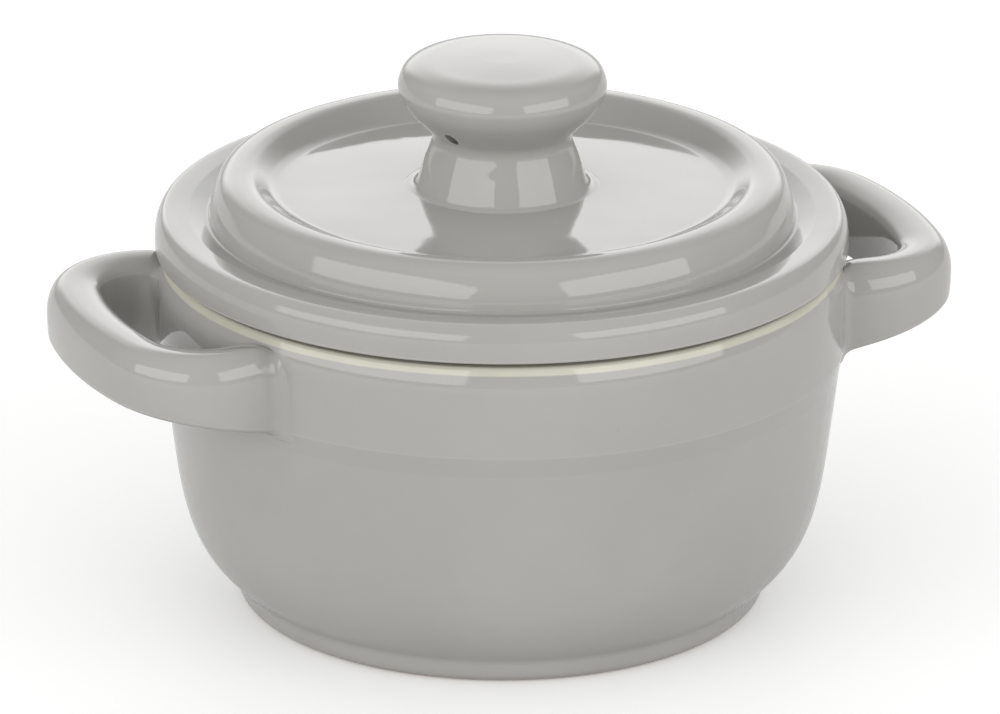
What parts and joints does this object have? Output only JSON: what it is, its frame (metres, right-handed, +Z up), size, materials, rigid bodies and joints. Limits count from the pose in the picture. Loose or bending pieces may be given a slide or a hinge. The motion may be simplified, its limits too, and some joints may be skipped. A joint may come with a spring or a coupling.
{
  "type": "mini casserole dish",
  "caption": "Small round glazed stoneware casserole with loop handles, a foot ring, and a lift-off lid whose hollow knob has a steam vent.",
  "frame": {"origin": "on the table under the middle of the pot", "axes": "+X through the right handle, +Z up along the axis of the pot and the lid"},
  "size_m": [0.1392, 0.105, 0.0854],
  "materials": {
    "pot_glaze": "gloss grey glaze, with a cream glaze on the lip and inside",
    "handle_glaze": "gloss grey glaze",
    "lid_glaze": "gloss grey glaze, with a cream glaze underneath",
    "knob_glaze": "gloss grey glaze"
  },
  "bodies": {
    "pot": {"pot_bowl": "pot_glaze", "handle_left": "handle_glaze", "handle_right": "handle_glaze"},
    "lid": {"lid_plate": "lid_glaze", "lid_knob": "knob_glaze"}
  },
  "joints": [
    {"name": "lid_lift", "type": "slide", "parent": "pot", "child": "lid", "axis": [0, 0, 1], "range_m": [0, 0.06]}
  ]
}
